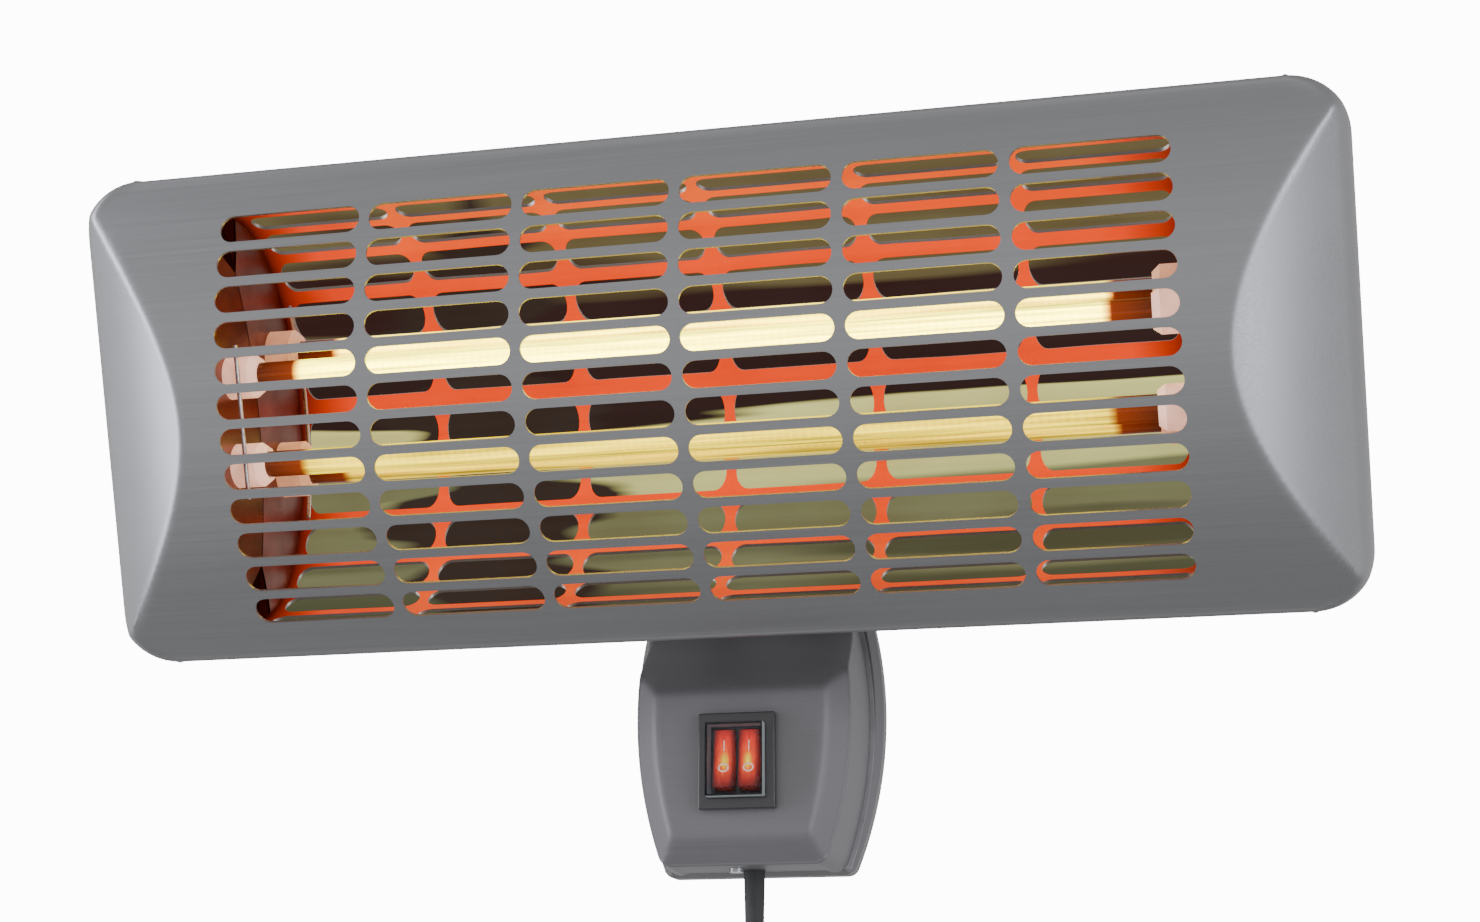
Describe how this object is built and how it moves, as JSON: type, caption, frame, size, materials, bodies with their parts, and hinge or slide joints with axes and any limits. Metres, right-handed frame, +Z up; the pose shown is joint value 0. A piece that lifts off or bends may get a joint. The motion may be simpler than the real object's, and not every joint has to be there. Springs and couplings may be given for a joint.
{
  "type": "electric bar heater",
  "caption": "Wall-mounted quartz heater: a wide slotted sheet-steel head over glowing tubes tilts on a hinge above a small wall box with a twin rocker switch and a mains lead.",
  "frame": {"origin": "centre of the wall plate's screw holes, on the wall's surface", "axes": "+X to the right seen from the front, along the head; +Y into the wall; +Z up"},
  "size_m": [0.5, 0.1656, 0.4894],
  "materials": {
    "grey_sheet_steel": "satin grey, fine horizontal brushing",
    "dark_sheet_steel": "satin dark grey",
    "reflector_sheet": "polished",
    "heat_tinted_steel": "heat tinted",
    "quartz_glass": "clear, lit by the coil",
    "hot_resistance_wire": "glowing",
    "white_ceramic": "matte",
    "zinc_steel": "zinc plated",
    "black_plastic": "fine grained",
    "black_rubber": "matte",
    "clear_plastic": "clear",
    "red_clear_plastic": "translucent",
    "lamp_glass": "lit",
    "brass": "bright",
    "brown_insulation": "smooth",
    "nickel_pins": "bright"
  },
  "bodies": {
    "wall_box": {"wall_plate": "grey_sheet_steel", "fixed_bracket": "dark_sheet_steel", "bracket_screws": "zinc_steel", "pivot_bolt_left": "zinc_steel", "pivot_bolt_right": "zinc_steel", "pivot_nuts": "zinc_steel", "friction_washers": "black_rubber", "box_shell": "grey_sheet_steel", "box_gasket": "black_rubber", "cover_screw": "zinc_steel", "switch_body": "black_plastic", "switch_bezel": "black_plastic", "switch_cover": "clear_plastic", "switch_contacts": "brass", "switch_lamps": "lamp_glass", "terminal_block": "white_ceramic", "terminal_screws": "zinc_steel", "earth_screw": "zinc_steel", "lead_cores": "brown_insulation", "cord_clamp_base": "black_plastic", "cord_clamp_bar": "black_plastic", "cord_clamp_screws": "zinc_steel", "strain_relief": "black_rubber", "mains_cord": "black_rubber", "cord_coil": "black_rubber", "cord_tail": "black_rubber", "cord_tie": "black_plastic", "plug_relief": "black_rubber", "plug_body": "black_plastic", "plug_pins": "nickel_pins", "plug_earth_strips": "nickel_pins"},
    "head": {"front_panel": "grey_sheet_steel", "rear_housing": "dark_sheet_steel", "rim_screws": "zinc_steel", "reflector": "reflector_sheet", "reflector_end_left": "heat_tinted_steel", "reflector_end_right": "heat_tinted_steel", "reflector_rivets": "zinc_steel", "upper_quartz_tube": "quartz_glass", "lower_quartz_tube": "quartz_glass", "upper_heating_coil": "hot_resistance_wire", "lower_heating_coil": "hot_resistance_wire", "upper_left_cap": "white_ceramic", "upper_right_cap": "white_ceramic", "lower_left_cap": "white_ceramic", "lower_right_cap": "white_ceramic", "tube_terminals": "zinc_steel", "tube_support_wire": "zinc_steel", "head_bracket": "dark_sheet_steel", "head_bracket_rivets": "zinc_steel", "head_lead_grommet": "black_rubber", "head_terminal_block": "white_ceramic"},
    "rocker_left": {"rocker_left": "red_clear_plastic"},
    "rocker_right": {"rocker_right": "red_clear_plastic"}
  },
  "joints": [
    {"name": "head_tilt", "type": "hinge", "parent": "wall_box", "child": "head", "pos_m": [0, -0.032, 0.078], "axis": [1, 0, 0], "range_deg": [-20.5, 24.5]},
    {"name": "left_rocker", "type": "hinge", "parent": "wall_box", "child": "rocker_left", "pos_m": [-0.0051, -0.05, -0.02], "axis": [1, 0, 0], "range_deg": [0, 16]},
    {"name": "right_rocker", "type": "hinge", "parent": "wall_box", "child": "rocker_right", "pos_m": [0.0051, -0.05, -0.02], "axis": [1, 0, 0], "range_deg": [0, 16]}
  ]
}
